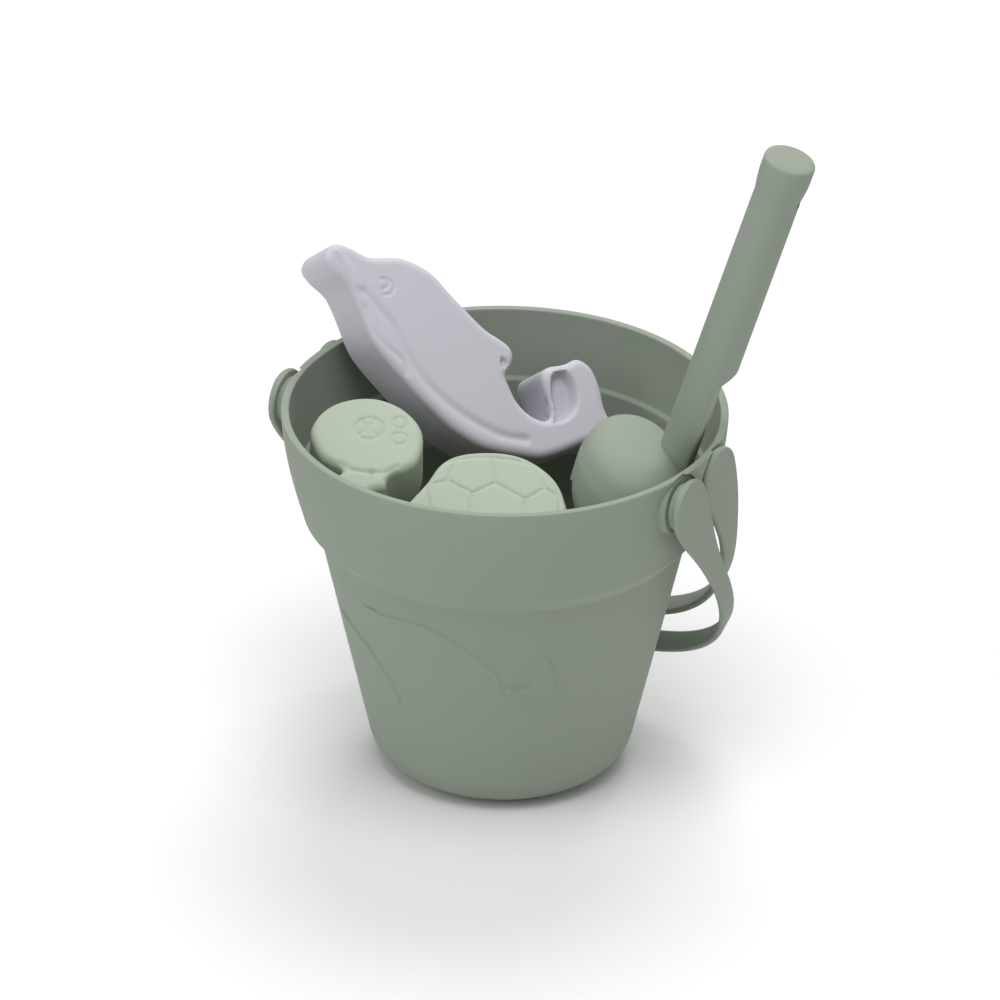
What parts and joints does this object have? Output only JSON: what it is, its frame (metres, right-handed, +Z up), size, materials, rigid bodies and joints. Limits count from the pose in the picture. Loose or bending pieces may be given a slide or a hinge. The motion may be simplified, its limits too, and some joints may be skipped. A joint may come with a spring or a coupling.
{
  "type": "sand bucket set",
  "caption": "Soft moulded beach bucket with twin strap handles, holding a spade and animal-shaped sand moulds.",
  "frame": {"origin": "centre of the flat underside, at the mount base_rest", "axes": "+Z up; +X along the handles' pivots, towards the spade; +Y towards the side where both handles hang"},
  "size_m": [0.2109, 0.168, 0.2727],
  "materials": {
    "sage_silicone": "matte moulded silicone, sage green",
    "pale_sage_silicone": "matte moulded silicone, pale sage green",
    "lilac_silicone": "matte moulded silicone, pale lilac grey",
    "ochre_silicone": "matte moulded silicone, ochre"
  },
  "bodies": {
    "bucket_body": {"bucket": "sage_silicone"},
    "front_handle_body": {"front_handle": "sage_silicone"},
    "back_handle_body": {"back_handle": "sage_silicone"},
    "spade_body": {"spade": "sage_silicone"},
    "dolphin_body": {"dolphin_mould": "lilac_silicone"},
    "octopus_body": {"octopus_mould": "pale_sage_silicone"},
    "turtle_body": {"turtle_mould": "pale_sage_silicone"},
    "star_body": {"star_mould": "ochre_silicone"}
  },
  "joints": [
    {"name": "front_handle_swing", "type": "hinge", "parent": "bucket_body", "child": "front_handle_body", "pos_m": [0, -0.014, 0.135], "axis": [1, 0, 0], "range_deg": [0, 80]},
    {"name": "back_handle_swing", "type": "hinge", "parent": "bucket_body", "child": "back_handle_body", "pos_m": [0, 0.014, 0.135], "axis": [1, 0, 0], "range_deg": [0, 108]},
    {"name": "spade_lift", "type": "slide", "parent": "bucket_body", "child": "spade_body", "axis": [0.2033, 0.1452, 0.9683], "range_m": [0, 0.2]},
    {"name": "dolphin_lift", "type": "slide", "parent": "bucket_body", "child": "dolphin_body", "axis": [-0.1483, 0, 0.9889], "range_m": [0, 0.2]},
    {"name": "octopus_lift", "type": "slide", "parent": "bucket_body", "child": "octopus_body", "axis": [0, 0, 1], "range_m": [0, 0.17]},
    {"name": "turtle_lift", "type": "slide", "parent": "bucket_body", "child": "turtle_body", "axis": [0, -0.1191, 0.9929], "range_m": [0, 0.17]},
    {"name": "star_lift", "type": "slide", "parent": "bucket_body", "child": "star_body", "axis": [0.3482, 0.3482, 0.8704], "range_m": [0, 0.035]}
  ]
}
